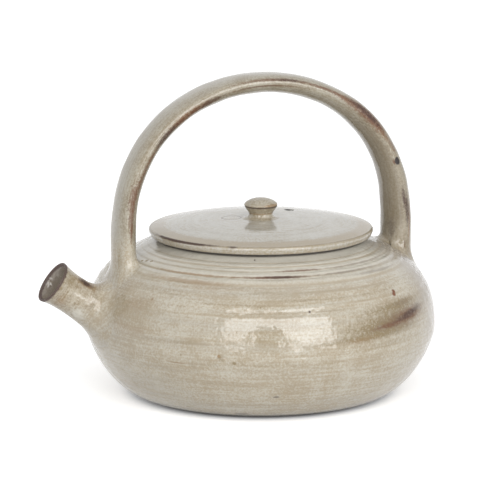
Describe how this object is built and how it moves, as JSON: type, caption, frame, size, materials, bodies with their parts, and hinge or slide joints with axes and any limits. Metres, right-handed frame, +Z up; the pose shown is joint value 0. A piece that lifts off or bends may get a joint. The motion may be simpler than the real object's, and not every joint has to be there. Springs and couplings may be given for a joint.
{
  "type": "teapot",
  "caption": "Squat round ceramic teapot with a fixed overhead handle, a short waisted spout and a lift-off disc lid with a turned knob.",
  "frame": {"origin": "centre of the flat base, on the surface that the teapot stands on", "axes": "+Z up along the pot's axis, the spout points along -X, and the handle stands in the XZ plane"},
  "size_m": [0.2203, 0.19, 0.1746],
  "materials": {
    "ash_glaze": "semi-gloss grey-beige glaze with brown iron breaks on the ridges",
    "bare_clay": "matt fired stoneware"
  },
  "bodies": {
    "pot": {"pot_body": "ash_glaze", "mouth_collar": "ash_glaze", "spout": "ash_glaze", "spout_strainer": "bare_clay", "handle": "ash_glaze"},
    "lid": {"lid_plate": "ash_glaze", "lid_flange": "ash_glaze", "lid_knob": "ash_glaze"}
  },
  "joints": [
    {"name": "lid_lift", "type": "slide", "parent": "pot", "child": "lid", "axis": [0, 0, 1], "range_m": [0, 0.035]}
  ]
}
